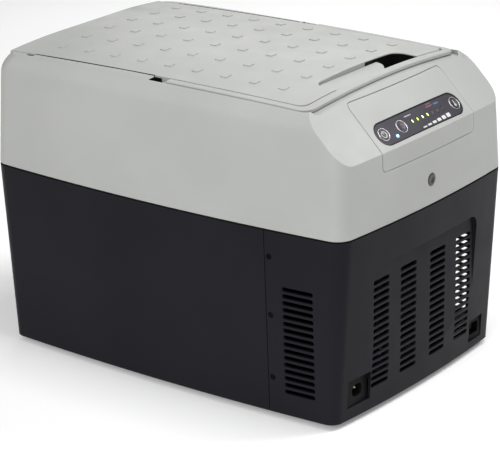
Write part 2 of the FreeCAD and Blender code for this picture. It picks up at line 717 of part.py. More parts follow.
def make_module_frame():
    frame = box(123.2, 127.1, -30.5, 30.5, stack_z - 30.5, stack_z + 30.5)
    return frame.cut(box(120, 130, -20.6, 20.6, stack_z - 20.6, stack_z + 20.6)).cut(clamp_bores(1.9))


def make_clamp_screws():
    screws = []
    for p in clamp_places():
        shank = rod(1.5, V(92.2, p.y, p.z), V(133.4, p.y, p.z))
        head = rod(1.8, V(133.4, p.y, p.z), V(135.6, p.y, p.z))
        screws.append(shank.fuse(head))
    return Part.makeCompound(screws)


def make_fan_screws():
    screws = []
    for p in fan_corners(fan_size, fan_x - 2.0):
        shank = rod(1.9, p, p + V(fan_depth + 2.0, 0, 0))
        head = rod(3.6, p + V(fan_depth + 2.0, 0, 0), p + V(fan_depth + 4.0, 0, 0))
        screws.append(shank.fuse(head))
    return Part.makeCompound(screws)


def make_fan_bracket():
    """Plate between the fins and the fan, with four feet standing on the bulkhead."""
    plate = box(163.6, fan_x, -54, 54, stack_z - 50, stack_z + 50)
    plate = plate.cut(rod(44, V(160, 0, stack_z), V(170, 0, stack_z)))
    feet = []
    for z in (stack_z - 40, stack_z + 40):
        feet.append(both_sides(box(131.0, 163.6, 54, 58, z - 4, z + 4)))
        feet.append(both_sides(box(163.6, fan_x, 53, 58, z - 6, z + 6)))
    shape = plate.fuse(feet)
    return shape.cut([rod(2.2, p - V(5, 0, 0), p + V(5, 0, 0)) for p in fan_corners(fan_size, fan_x)])


# ---------------------------------------------------------------- electronics

def make_control_board():
    return on_console(flat_rectangle(-68, 68, 4, 31)).common(console_layer(-7.9, -9.5))


def make_key_switches():
    parts = []
    for y in key_places.values():
        body = on_console(flat_rectangle(y - 3, y + 3, pad_up - 3, pad_up + 3)).common(
            console_layer(-7.0, -7.9))
        parts.append(body)
    return Part.makeCompound(parts)


def make_board_posts():
    posts = []
    for y in (-64.0, 64.0):
        for up in (7.0, 28.0):
            posts.append(on_console(flat_disc(y, up, 1.8)).common(console_layer(-4.2, -7.9)))
    return Part.makeCompound(posts)


def make_power_board():
    board = box(139, 187, -72, 62, 20, 21.6)
    legs = [rod(3, V(x, y, 9.1), V(x, y, 20)) for x in (143, 183) for y in (-66, 56)]
    return board, Part.makeCompound(legs)


def make_transformer():
    core = box(142, 160, -60, -30, 21.7, 35.5)
    return core.fuse(box(146, 156, -64, -26, 21.7, 33.5))


def make_capacitors():
    places = ((168, -56, 5.0, 13.5), (168, -42, 5.0, 13.5), (178, -20, 4.0, 11.5), (170, 20, 6.0, 13.5),
              (150, 40, 4.0, 12.0), (150, 50, 4.0, 12.0))
    return Part.makeCompound([rod(r, V(x, y, 21.7), V(x, y, 21.7 + h)) for x, y, r, h in places])


def make_power_heatsink():
    base = box(142, 162, -16, 16, 21.7, 24.0)
    return base.fuse([box(142, 162, -16 + 6 * i, -14.6 + 6 * i, 24.0, 35.0) for i in range(6)])


def screw_seat(z):
    """Y of the floor of a cover screw's seat: a little inside the bowed side wall."""
    share = (z - foot_height) / (seam_z - foot_height)
    sag = 7.6 + 2.8 * share
    half_length = (length_bottom + (length_seam - length_bottom) * share) / 2
    radius = (half_length ** 2 + sag ** 2) / (2 * sag)
    half_width = (width_bottom + (width_seam - width_bottom) * share) / 2
    return half_width - radius + math.sqrt(radius ** 2 - screw_x ** 2) - screw_sink


def make_cover_screws():
    screws = []
    for z in screw_heights:
        y = screw_seat(z)
        shank = rod(1.5, V(screw_x, y - 8.4, z), V(screw_x, y, z))
        head = rod(screw_head, V(screw_x, y, z), V(screw_x, y + 1.0, z))
        socket = rod(1.6, V(screw_x, y + 0.3, z), V(screw_x, y + 2, z))
        screws.append(both_sides(shank.fuse(head).cut(socket)))
    return Part.makeCompound([solid for pair in screws for solid in pair.Solids])


def make_feet():
    feet = []
    for p in foot_places():
        foot = Part.makeCone(8.5, 10.0, foot_height, p, Z_AXIS)
        feet.append(foot.cut(rod(4.0, p, p + V(0, 0, 2.6))).cut(rod(2.0, p, p + V(0, 0, 10))))
    return Part.makeCompound(feet)


def make_foot_screws():
    return Part.makeCompound([rod(3.4, p + V(0, 0, 0.8), p + V(0, 0, 2.6)).fuse(
        rod(1.9, p + V(0, 0, 2.6), p + V(0, 0, 11.5))) for p in foot_places()])


def make_console_plug():
    disc = rod(plug_radius, V(222.4, 0, plug_z), V(224.9, 0, plug_z))
    return disc.fuse(rod(4.1, V(218.5, 0, plug_z), V(222.4, 0, plug_z)))


def make_temperature_sensor():
    return rod(2.5, V(88, -60, stack_z + 30), V(88, -60, stack_z + 52)).fuse(
        box(85.5, 96.8, -62.5, -57.5, stack_z + 36, stack_z + 44))


def loom(points, radius, bend):
    """Tube of straight runs joined by tangent arcs of one radius."""
    edges = []
    start = points[0]
    for before, corner, after in zip(points, points[1:], points[2:]):
        first, second = (corner - before).normalize(), (after - corner).normalize()
        half_turn = first.getAngle(second) / 2
        cut = bend * math.tan(half_turn)
        a, b = corner - first * cut, corner + second * cut
        inward = (second - first).normalize()
        mid = corner + inward * (bend / math.cos(half_turn) - bend)
        edges += [Part.makeLine(start, a), arc(a, mid, b)]
        start = b
    edges.append(Part.makeLine(start, points[-1]))
    path = Part.Wire(edges)
    section = Part.Wire(Part.makeCircle(radius, points[0], points[1] - points[0]))
    tube = path.makePipeShell([section], True, True)
    print("loom", round(path.Length, 1), round(tube.Volume / (math.pi * radius ** 2 * path.Length), 4))
    return tube


def make_control_loom():
    return loom([V(206.9, 40, 268.6), V(195, 41, 256.7), V(178, 48, 230), V(160, 70, 195), V(160, 78, 130),
                 V(160, 79, 47), V(160, 56, 36), V(160, 56, 21.7)], 2.2, 11.0)


def make_power_leads():
    mains = [V(184, -104, 33), V(168, -104, 33), V(154, -88, 34), V(150, -67, 36), V(150, -67, 21.7)]
    battery = [V(186, 105, 26), V(170, 105, 26), V(158, 84, 32), V(156, 58, 36), V(156, 58, 21.7)]
    return Part.makeCompound([loom(mains, 2.6, 8.0), loom(battery, 2.2, 8.0)])


def main():
    os.makedirs("parts", exist_ok=True)
    envelope = upper_envelope()
    cavity = upper_cavity(wall, deck_z - wall, wall)
    save("upper_housing", make_upper_housing(envelope, cavity))
    save("lower_housing", make_lower_housing())
    save("end_cover", make_end_cover())
    save("seam_seal", make_seam_seal())
    save("inner_liner", make_inner_liner())
    save("insulation_foam", make_foam())
    save("finger_well", make_finger_well())
    save("lid_shell", make_lid_shell())
    save("lid_notch_trim", make_notch_trim())
    save("lid_liner", make_lid_liner())
    save("lid_foam", make_lid_foam())
    save("lid_seal", make_lid_seal())
    save("lid_hinge_pins", make_lid_pins())
    save("lid_hinge_bushes", make_lid_bushes())
    save("carry_handle", make_carry_handle())
    save("handle_pins", make_handle_pins())
    save("handle_bushes", make_handle_bushes())
    save("console_cover", make_console_cover(envelope, cavity))
    save("keypad_panel", make_keypad_panel())
    for name, y in key_places.items():
        save(name, make_key(y))
    save("key_rings", make_key_rings())
    save("level_leds_lit", make_leds(0, 4))
    save("level_leds_unlit", make_leds(4, 7))
    save("status_led", on_console(flat_disc(status_y, status_up, status_radius)).common(
        console_layer(-0.7, -3.0)))
    save("control_board", make_control_board())
    save("key_switches", make_key_switches())
    save("board_posts", make_board_posts())
    save("console_plug", make_console_plug())
    save("cold_heatsink", make_cold_heatsink())
    save("cold_fan_frame", fan_frame(cold_fan_size, cold_fan_depth, cold_fan_x))
    save("cold_fan_rotor", fan_rotor(cold_fan_size, cold_fan_depth, cold_fan_x))
    save("cold_fan_cover", make_cold_fan_cover())
    save("cold_block", box(96.9, 123.6, -20, 20, stack_z - 20, stack_z + 20))
    save("peltier_module", box(123.7, 127.3, -20, 20, stack_z - 20, stack_z + 20))
    save("module_frame", make_module_frame())
    save("clamp_screws", make_clamp_screws())
    save("hot_heatsink", make_hot_heatsink())
    save("fan_bracket", make_fan_bracket())
    save("hot_fan_frame", fan_frame(fan_size, fan_depth, fan_x))
    save("hot_fan_rotor", fan_rotor(fan_size, fan_depth, fan_x))
    save("fan_screws", make_fan_screws())
    board, legs = make_power_board()
    save("power_board", board)
    save("power_board_legs", legs)
    save("transformer", make_transformer())
    save("capacitors", make_capacitors())
    save("power_heatsink", make_power_heatsink())
    save("ac_inlet", make_ac_inlet())
    save("ac_inlet_pins", make_ac_pins())
    save("dc_inlet", make_dc_inlet())
    save("dc_inlet_pins", make_dc_pins())
    save("cover_screws", make_cover_screws())
    save("feet", make_feet())
    save("foot_screws", make_foot_screws())
    save("temperature_sensor", make_temperature_sensor())
    save("control_loom", make_control_loom())
    save("power_leads", make_power_leads())


main()
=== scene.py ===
import json
import math

import bmesh
import bpy
import numpy as np
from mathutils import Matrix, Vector


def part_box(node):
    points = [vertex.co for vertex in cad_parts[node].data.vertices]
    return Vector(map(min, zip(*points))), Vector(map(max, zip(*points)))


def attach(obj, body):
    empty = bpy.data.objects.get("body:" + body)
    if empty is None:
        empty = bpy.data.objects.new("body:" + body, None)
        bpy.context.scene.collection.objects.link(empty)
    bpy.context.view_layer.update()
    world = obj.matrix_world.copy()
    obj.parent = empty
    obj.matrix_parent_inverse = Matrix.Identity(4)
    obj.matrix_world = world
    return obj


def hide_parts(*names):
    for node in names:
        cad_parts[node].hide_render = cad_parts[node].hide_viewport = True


# Thermoelectric cool box: two-tone shells, treaded lid, folding handle and a sloping keypad.
# Metres, +Z up, +X is the console end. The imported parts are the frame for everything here.

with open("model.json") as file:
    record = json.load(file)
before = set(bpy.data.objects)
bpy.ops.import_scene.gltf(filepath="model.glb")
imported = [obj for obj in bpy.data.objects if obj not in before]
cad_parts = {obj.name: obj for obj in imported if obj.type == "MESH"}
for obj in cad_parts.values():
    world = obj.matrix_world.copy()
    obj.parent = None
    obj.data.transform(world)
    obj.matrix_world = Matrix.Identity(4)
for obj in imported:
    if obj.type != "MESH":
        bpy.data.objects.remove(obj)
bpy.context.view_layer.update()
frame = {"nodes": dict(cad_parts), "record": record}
nodes = frame["nodes"]
record = frame["record"]
scene = bpy.context.scene
mm = 0.001
slope = math.sqrt(0.5)          # the console face leans back at 45 degrees

bodyOf = {node: body for body, members in record["behaviour"]["bodies"].items() for node in members}
slotOf = {part["node"]: part["material_slot"] for part in record["subparts"]}
print("frame loaded:", len(nodes), "nodes")


# ---- materials

# strength and height of each kind of bump; scales of the shared patterns; octaves of each noise;
# and the two values that noise mostly sits between
relief = {"moulded": (0.25, 0.06 * mm), "drawn": (0.2, 0.04 * mm), "foam": (0.5, 0.3 * mm),
          "board": (0.3, 0.05 * mm)}
pattern = {"drift": 7.0, "sheen": 38.0, "grain": 1500.0, "lens": 700.0}
detail = {"drift": 3.0, "sheen": 4.0, "grain": 2.0, "streak": 5.0, "lens": 1.0}
noiseSpan = 0.3, 0.7


def startMaterial(name, metallic=0.0, roughness=0.5, extra=None):
    # a Principled shader with Object coordinates ready, so patterns stay in the piece
    material = bpy.data.materials.new(name)
    material.use_nodes = True
    tree = material.node_tree
    shader = tree.nodes["Principled BSDF"]
    shader.inputs["Metallic"].default_value = metallic
    shader.inputs["Roughness"].default_value = roughness
    for socket, value in (extra or {}).items():
        shader.inputs[socket].default_value = value
    place = tree.nodes.new("ShaderNodeTexCoord")
    return material, tree, shader, place.outputs["Object"]


def addNoise(tree, place, scale, octaves, stretch=None):
    noise = tree.nodes.new("ShaderNodeTexNoise")
    noise.inputs["Scale"].default_value = scale
    noise.inputs["Detail"].default_value = octaves
    if stretch:
        mapping = tree.nodes.new("ShaderNodeMapping")
        mapping.inputs["Scale"].default_value = stretch
        tree.links.new(place, mapping.inputs["Vector"])
        place = mapping.outputs["Vector"]
    tree.links.new(place, noise.inputs["Vector"])
    return noise.outputs["Fac"]


def rangeOf(tree, value, low, high):
    # spreads the part of a noise that matters over low to high
    node = tree.nodes.new("ShaderNodeMapRange")
    for socket, number in (("From Min", noiseSpan[0]), ("From Max", noiseSpan[1]),
                           ("To Min", low), ("To Max", high)):
        node.inputs[socket].default_value = number
    tree.links.new(value, node.inputs["Value"])
    return node.outputs["Result"]


def twoTones(tree, value, dark, light, low=0.35, high=0.65):
    ramp = tree.nodes.new("ShaderNodeValToRGB")
    ramp.color_ramp.elements[0].position = low
    ramp.color_ramp.elements[0].color = (*dark, 1)
    ramp.color_ramp.elements[1].position = high
    ramp.color_ramp.elements[1].color = (*light, 1)
    tree.links.new(value, ramp.inputs["Fac"])
    return ramp.outputs["Color"]


def addBump(tree, shader, height, strength, distance):
    bump = tree.nodes.new("ShaderNodeBump")
    bump.inputs["Strength"].default_value = strength
    bump.inputs["Distance"].default_value = distance
    tree.links.new(height, bump.inputs["Height"])
    tree.links.new(bump.outputs["Normal"], shader.inputs["Normal"])


def mouldedPlastic(name, look):
    # colour drifts slowly, roughness drifts over a hand's width, and a fine eroded grain is in the bump
    material, tree, shader, place = startMaterial(name, extra=look.get("extra"))
    drift = addNoise(tree, place, look.get("drift", pattern["drift"]), detail["drift"])
    tree.links.new(twoTones(tree, drift, look["dark"], look["light"]), shader.inputs["Base Color"])
    sheen = addNoise(tree, place, pattern["sheen"], detail["sheen"])
    low, high = look["rough"]
    tree.links.new(rangeOf(tree, sheen, low, high), shader.inputs["Roughness"])
    grain = addNoise(tree, place, look.get("grain", pattern["grain"]), detail["grain"])
    strength, height = relief["moulded"]
    addBump(tree, shader, grain, look.get("bump", strength), height)
    return material


def drawnMetal(name, look):
    # long streaks along the way that the metal was drawn or extruded
    material, tree, shader, place = startMaterial(name, metallic=1.0)
    streak = addNoise(tree, place, look["scale"], detail["streak"], look["stretch"])
    tree.links.new(twoTones(tree, streak, look["dark"], look["light"]), shader.inputs["Base Color"])
    low, high = look["rough"]
    tree.links.new(rangeOf(tree, streak, low, high), shader.inputs["Roughness"])
    addBump(tree, shader, streak, *relief["drawn"])
    return material


def cellFoam(name, look):
    # closed cells: the distance to the nearest cell centre gives both colour and pits
    material, tree, shader, place = startMaterial(name, roughness=0.9)
    cells = tree.nodes.new("ShaderNodeTexVoronoi")
    cells.inputs["Scale"].default_value = look["scale"]
    tree.links.new(place, cells.inputs["Vector"])
    distance = cells.outputs["Distance"]
    tones = twoTones(tree, distance, look["light"], look["dark"], low=0.1, high=0.8)
    tree.links.new(tones, shader.inputs["Base Color"])
    addBump(tree, shader, distance, *relief["foam"])
    return material


def circuitBoard(name, look):
    # lacquered green laminate; blocks of a brick pattern read as copper under the lacquer
    material, tree, shader, place = startMaterial(name, roughness=0.3)
    tracks = tree.nodes.new("ShaderNodeTexBrick")
    for socket, value in (("Scale", look["scale"]), ("Mortar Size", 0.05), ("Mortar Smooth", 0.1),
                          ("Color1", (*look["dark"], 1)), ("Color2", (*look["light"], 1)),
                          ("Mortar", (*look["track"], 1))):
        tracks.inputs[socket].default_value = value
    tree.links.new(place, tracks.inputs["Vector"])
    tree.links.new(tracks.outputs["Color"], shader.inputs["Base Color"])
    addBump(tree, shader, tracks.outputs["Fac"], *relief["board"])
    return material


def glowingLens(name, look):
    # clear coloured lens lit from behind, a little uneven as a diffused lamp is
    material, tree, shader, place = startMaterial(
        name, roughness=0.25, extra={"Emission Strength": look["strength"], "Coat Weight": 0.5})
    uneven = addNoise(tree, place, pattern["lens"], detail["lens"])
    tones = twoTones(tree, uneven, look["dark"], look["light"])
    tree.links.new(tones, shader.inputs["Base Color"])
    tree.links.new(tones, shader.inputs["Emission Color"])
    return material


materials = {
    "shell_grey": mouldedPlastic("shellGrey", {
        "dark": (0.340, 0.346, 0.334), "light": (0.368, 0.374, 0.362), "rough": (0.42, 0.52),
        "extra": {"Specular IOR Level": 0.45}}),
    "shell_dark": mouldedPlastic("shellDark", {
        "dark": (0.0095, 0.0089, 0.0118), "light": (0.0116, 0.0108, 0.0142), "rough": (0.34, 0.44),
        "extra": {"Specular IOR Level": 0.06}}),
    "soft_black": mouldedPlastic("sealRubber", {
        "dark": (0.004, 0.004, 0.004), "light": (0.008, 0.008, 0.008), "rough": (0.6, 0.8), "grain": 900.0,
        "extra": {"Specular IOR Level": 0.15}}),
    "liner_grey": mouldedPlastic("linerGrey", {
        "dark": (0.5, 0.51, 0.5), "light": (0.55, 0.56, 0.55), "rough": (0.24, 0.34), "bump": 0.1}),
    "trim_black": mouldedPlastic("trimBlack", {
        "dark": (0.004, 0.004, 0.0045), "light": (0.007, 0.007, 0.0075), "rough": (0.4, 0.5),
        "extra": {"Specular IOR Level": 0.04}}),
    "pad_dark": mouldedPlastic("padDark", {
        "dark": (0.030, 0.027, 0.036), "light": (0.038, 0.034, 0.046), "rough": (0.4, 0.5), "bump": 0.12,
        "extra": {"Specular IOR Level": 0.2}}),
    "key_grey": mouldedPlastic("keyGrey", {
        "dark": (0.024, 0.021, 0.029), "light": (0.032, 0.028, 0.038), "rough": (0.3, 0.4), "bump": 0.1,
        "extra": {"Specular IOR Level": 0.3}}),
    "plug_grey": mouldedPlastic("plugGrey", {
        "dark": (0.030, 0.029, 0.028), "light": (0.042, 0.040, 0.039), "rough": (0.25, 0.35)}),
    "black_steel": mouldedPlastic("blackenedSteel", {
        "dark": (0.003, 0.003, 0.003), "light": (0.005, 0.005, 0.005), "rough": (0.4, 0.5), "grain": 2500.0,
        "extra": {"Specular IOR Level": 0.04}}),
    "coil_yellow": mouldedPlastic("windingTape", {
        "dark": (0.5, 0.38, 0.05), "light": (0.62, 0.5, 0.1), "rough": (0.3, 0.5), "grain": 500.0}),
    "sleeve_blue": mouldedPlastic("capacitorSleeve", {
        "dark": (0.008, 0.014, 0.06), "light": (0.015, 0.025, 0.09), "rough": (0.2, 0.35)}),
    "ceramic": mouldedPlastic("firedCeramic", {
        "dark": (0.75, 0.75, 0.73), "light": (0.85, 0.85, 0.83), "rough": (0.5, 0.65)}),
    "cable_black": mouldedPlastic("cableJacket", {
        "dark": (0.012, 0.012, 0.012), "light": (0.02, 0.02, 0.02), "rough": (0.45, 0.6)}),
    "steel": drawnMetal("platedSteel", {
        "dark": (0.45, 0.45, 0.46), "light": (0.6, 0.6, 0.6), "rough": (0.25, 0.4),
        "scale": 120.0, "stretch": (1, 1, 6)}),
    "aluminium": drawnMetal("extrudedAluminium", {
        "dark": (0.6, 0.6, 0.61), "light": (0.75, 0.75, 0.76), "rough": (0.3, 0.45),
        "scale": 160.0, "stretch": (8, 8, 1)}),
    "brass": drawnMetal("tinnedBrass", {
        "dark": (0.55, 0.46, 0.28), "light": (0.72, 0.62, 0.4), "rough": (0.2, 0.35),
        "scale": 300.0, "stretch": (1, 8, 8)}),
    "chrome_trim": drawnMetal("brightRing", {
        "dark": (0.62, 0.61, 0.63), "light": (0.74, 0.73, 0.75), "rough": (0.32, 0.42),
        "scale": 90.0, "stretch": (1, 1, 1)}),
    "foam": cellFoam("insulationFoam", {
        "dark": (0.55, 0.5, 0.33), "light": (0.78, 0.73, 0.55), "scale": 500.0}),
    "board_green": circuitBoard("lacqueredBoard", {
        "dark": (0.008, 0.07, 0.03), "light": (0.012, 0.09, 0.04), "track": (0.05, 0.16, 0.07),
        "scale": 160.0}),
    "led_green": glowingLens("levelLampLit", {
        "dark": (0.62, 0.8, 0.1), "light": (0.9, 1.0, 0.4), "strength": 1.5}),
    "led_blue": glowingLens("statusLamp", {
        "dark": (0.25, 0.5, 1.0), "light": (0.55, 0.8, 1.0), "strength": 6.0}),
    "led_off": mouldedPlastic("levelLampUnlit", {
        "dark": (0.055, 0.055, 0.06), "light": (0.085, 0.085, 0.085), "rough": (0.15, 0.25)}),
    "print_white": mouldedPlastic("printWhite", {
        "dark": (0.55, 0.55, 0.56), "light": (0.66, 0.66, 0.67), "rough": (0.4, 0.5)}),
    "print_grey": mouldedPlastic("printGrey", {
        "dark": (0.42, 0.39, 0.4), "light": (0.52, 0.5, 0.5), "rough": (0.4, 0.5)}),
    "print_red": mouldedPlastic("printRed", {
        "dark": (0.15, 0.05, 0.062), "light": (0.2, 0.065, 0.08), "rough": (0.4, 0.5)}),
    "print_blue": mouldedPlastic("printBlue", {
        "dark": (0.04, 0.1, 0.22), "light": (0.06, 0.14, 0.3), "rough": (0.4, 0.5)}),
    "glow_green": glowingLens("lampSpillGreen", {
        "dark": (0.02, 0.06, 0.005), "light": (0.05, 0.12, 0.01), "strength": 0.4}),
    # painted glow of the status lamp's light on the panel round it
    "glow_blue": glowingLens("paintedLampGlowBlue", {
        "dark": (0.01, 0.04, 0.25), "light": (0.03, 0.12, 0.5), "strength": 0.8}),
}
print("materials made:", len(materials))


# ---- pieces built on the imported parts

def finishPiece(piece, node, slot=None):
    # give the piece its material and hand it to the body that its part belongs to
    if not piece.data.materials:
        piece.data.materials.append(materials[slotOf[node]])
    piece.data.materials[0] = materials[slot or slotOf[node]]
    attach(piece, bodyOf[node])


# millimetres and degrees: corners this close are joined, faces this nearly level are merged, and
# edges sharper than these are shaded sharp or rounded
skinRule = {"weld": 0.002 * mm, "merge": 0.3, "sharp": 32, "round": 35}
meshSharp = 38


def mergedCopy(node, edge):
    # the part's own shape with its corners joined, flat faces rebuilt and every sharp edge rounded
    mesh = nodes[node].data.copy()
    mesh.name = node + "_skin"
    build = bmesh.new()
    build.from_mesh(mesh)
    bmesh.ops.remove_doubles(build, verts=build.verts, dist=skinRule["weld"])
    bmesh.ops.dissolve_degenerate(build, edges=build.edges, dist=skinRule["weld"])
    if edge:
        bmesh.ops.dissolve_limit(build, angle_limit=math.radians(skinRule["merge"]), verts=build.verts,
                                 edges=build.edges)
    build.to_mesh(mesh)
    build.free()
    mesh.shade_smooth()
    mesh.set_sharp_from_angle(angle=math.radians(skinRule["sharp"]))
    piece = bpy.data.objects.new(mesh.name, mesh)
    scene.collection.objects.link(piece)
    if edge:
        rounding = piece.modifiers.new("roundedEdges", "BEVEL")
        rounding.width = edge * mm
        rounding.segments = 2
        rounding.limit_method = "ANGLE"
        rounding.angle_limit = math.radians(skinRule["round"])
        rounding.use_clamp_overlap = False
        rounding.harden_normals = True
        even = piece.modifiers.new("evenNormals", "WEIGHTED_NORMAL")
        even.keep_sharp = True
    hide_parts(node)
    return piece


# edge radius in millimetres of each part that gets rounded edges; the rest are left sharp
edgeRadius = {"upper_housing": 0.6, "lower_housing": 0.4, "end_cover": 0.3, "lid_shell": 0.3,
              "carry_handle": 0.8, "console_cover": 0.3, "keypad_panel": 0.15, "finger_well": 0.3,
              "inner_liner": 0.5, "lid_liner": 0.4, "cold_fan_cover": 0.3, "ac_inlet": 0.25,
              "dc_inlet": 0.25, "feet": 0.5, "lid_seal": 0.5}
numpyMade = {"power_key", "mode_key", "temperature_key", "key_rings", "level_leds_lit",
             "level_leds_unlit", "status_led", "console_plug", "hot_fan_rotor", "cold_fan_rotor"}

for node in sorted(set(nodes) - numpyMade):
    skin = mergedCopy(node, edgeRadius.get(node, 0))
    finishPiece(skin, node)
print("skins made:", len(nodes) - len(numpyMade))


def meshPiece(name, points, faces):
    mesh = bpy.data.meshes.new(name)
    mesh.from_pydata(points.reshape(-1, 3).tolist(), [], faces)
    # every closed surface is turned outwards here, whichever way round its grid runs
    build = bmesh.new()
    build.from_mesh(mesh)
    bmesh.ops.recalc_face_normals(build, faces=build.faces)
    build.to_mesh(mesh)
    build.free()
    mesh.shade_smooth()
    mesh.set_sharp_from_angle(angle=math.radians(meshSharp))
    piece = bpy.data.objects.new(name, mesh)
    scene.collection.objects.link(piece)
    return piece


def gridFaces(rows, columns, wrapRows=False, start=0):
    # quads between neighbours of a rows by columns grid of points, numbered row by row; each row
    # is a closed loop, and with wrapRows so is each column
    r = np.arange(rows if wrapRows else rows - 1)
    r, c = (a.ravel() for a in np.meshgrid(r, np.arange(columns), indexing="ij"))
    nextR, nextC = (r + 1) % rows, (c + 1) % columns
    quads = np.stack([r * columns + c, nextR * columns + c, nextR * columns + nextC, r * columns + nextC], 1)
    return (quads + start).tolist()


def capFace(row, columns, start=0):
    return (start + row * columns + np.arange(columns)).tolist()


# ---- the keypad: a plane that leans back at 45 degrees and is bowed along Y

pad = {"bow": 1.22, "length": 0.143, "height": 0.0255, "recess": 0.9 * mm, "keyRecess": 0.3 * mm,
       "print": 0.05 * mm}


def bowSag(y):
    # how far a circle of the bow's radius falls back at y
    return pad["bow"] - np.sqrt(pad["bow"] ** 2 - y ** 2)


def keyCentre(node):
    # middle of the key's round face: its box's top corner, one radius back down the slope
    low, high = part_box(node)
    radius = (high.y - low.y) / 2
    return (low.y + high.y) / 2, high.x - radius * slope, high.z - radius * slope, radius


keyY = {}
for key in ("power_key", "mode_key", "temperature_key"):
    y, x, z, keyRadius = keyCentre(key)
    keyY[key] = y
    keyDepth = pad["keyRecess"] + bowSag(y) * slope
    padX, padZ = x + keyDepth * slope, z + keyDepth * slope


def padPoint(y, up, out):
    # y along the console, up the slope from the row of keys, and out along the face's normal
    y, up, out = np.broadcast_arrays(y, up, out)
    out = out - bowSag(y) * slope
    return np.stack([padX + (out - up) * slope, y, padZ + (up + out) * slope], -1)


def turnedPiece(rings, centreY, steps):
    # a profile of (radius, out) pairs turned about the face's normal; both ends close on the axis
    radius, out = np.array(rings).T
    angle = np.linspace(0, 2 * np.pi, steps, endpoint=False)
    y = centreY + radius[:, None] * np.cos(angle)
    up = radius[:, None] * np.sin(angle)
    points = padPoint(y, up, out[:, None])
    faces = gridFaces(len(radius), steps)
    faces += [capFace(0, steps), capFace(len(radius) - 1, steps)]
    return points, faces


# a stroke's edges are cut back by these shares of its half width and of its height, a block's ends
# narrow to the least share of its height, and the rest are points along each kind of path
strokeLook = {"across": 0.14, "drop": 0.3, "least": 0.002, "arc": 25, "block": 15, "line": 5}


def strokePoints(y, up, width, low, high):
    # a flat printed stroke: six-sided section, width across the path and low to high along the normal
    alongY, alongUp = np.gradient(y), np.gradient(up)
    length = np.hypot(alongY, alongUp)
    acrossY, acrossUp = -alongUp / length, alongY / length
    half = np.broadcast_to(width, y.shape)[:, None] / 2
    flat = 1 - strokeLook["across"]
    side = np.array([-1.0, -1.0, -flat, flat, 1.0, 1.0]) * half
    step = (high - low) * strokeLook["drop"]
    out = np.array([low, high - step, high, high, high - step, low])
    return padPoint(y[:, None] + side * acrossY[:, None], up[:, None] + side * acrossUp[:, None], out)


def strokes(name, node, slot, paths, low, high):
    # one piece that holds several strokes; each path is (y, up, width)
    points, faces, start = [], [], 0
    for y, up, width in paths:
        grid = strokePoints(y, up, width, low, high)
        points.append(grid.reshape(-1, 3))
        rows = len(y)
        faces += gridFaces(rows, 6, start=start)
        faces += [capFace(0, 6, start), capFace(rows - 1, 6, start)]
        start += rows * 6
    piece = meshPiece(name, np.concatenate(points), faces)
    finishPiece(piece, node, slot)
    return piece


roundPower = 2.0    # a superellipse of this power is an ellipse, and higher ones are squarer


def blockPath(y, up, long, high, power):
    # a rounded block as one stroke along Y, its width following a superellipse
    t = np.sin(np.linspace(-np.pi / 2, np.pi / 2, strokeLook["block"]))
    width = high * np.maximum(1 - np.abs(t) ** power, strokeLook["least"]) ** (1 / power)
    return y + t * long / 2, up + 0 * t, width


def arcPath(y, up, radius, start, stop, width):
    angle = np.radians(np.linspace(start, stop, strokeLook["arc"]))
    return y + radius * np.cos(angle), up + radius * np.sin(angle), width


def linePath(y0, up0, y1, up1, width):
    t = np.linspace(0, 1, strokeLook["line"])
    return y0 + (y1 - y0) * t, up0 + (up1 - up0) * t, width


keyLook = {"dish": 0.35 * mm, "rim": 0.9 * mm, "rimDrop": 0.6, "side": 2.7 * mm, "stem": 2.0 * mm,
           "stemEnd": 5.9 * mm, "steps": 48}


def keyCap(node):
    # dished cap: a shallow bowl inside a rounded rim, a straight side, and the stem behind it
    r, top = keyRadius, -pad["keyRecess"]
    bowl = np.linspace(0.02 * r, r - keyLook["rim"], 9)
    rings = [(a, top - keyLook["dish"] * (1 - (a / bowl[-1]) ** 2)) for a in bowl]
    turn = np.radians(np.linspace(20, 90, 5))
    rim, drop = keyLook["rim"], keyLook["rimDrop"]
    rings += [(r - rim + rim * math.sin(a), top - rim * (1 - math.cos(a)) * drop) for a in turn]
    rings += [(r, top - keyLook["side"]), (keyLook["stem"], top - keyLook["side"]),
              (keyLook["stem"], top - keyLook["stemEnd"])]
    points, faces = turnedPiece(rings, keyY[node], keyLook["steps"])
    piece = meshPiece(node + "_cap", points, faces)
    finishPiece(piece, node)
    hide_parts(node)


for key in keyY:
    keyCap(key)

# bright rings: half-round tops on thin tubes that stand in the panel's holes
ring = {"inner": 6.35 * mm, "outer": 7.05 * mm, "top": 0.2 * mm, "bottom": 3.0 * mm, "steps": 64}
beadTurn = np.linspace(np.pi, 0, 7)
middle, bead = (ring["inner"] + ring["outer"]) / 2, (ring["outer"] - ring["inner"]) / 2
section = [(ring["inner"], -ring["bottom"])]
section += [(middle + bead * math.cos(a), -ring["top"] - bead + bead * math.sin(a)) for a in beadTurn]
section += [(ring["outer"], -ring["bottom"])]
ringPoints, ringFaces = [], []
for y in keyY.values():
    radius, out = np.array(section).T
    angle = np.linspace(0, 2 * np.pi, ring["steps"], endpoint=False)
    grid = padPoint(y + radius[:, None] * np.cos(angle), radius[:, None] * np.sin(angle), out[:, None])
    start = ring["steps"] * len(radius) * len(ringPoints)
    ringFaces += gridFaces(len(radius), ring["steps"], wrapRows=True, start=start)
    ringPoints.append(grid)
brightRings = meshPiece("key_rings_bright", np.array(ringPoints), ringFaces)
finishPiece(brightRings, "key_rings")
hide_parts("key_rings")
print("keys and rings made")

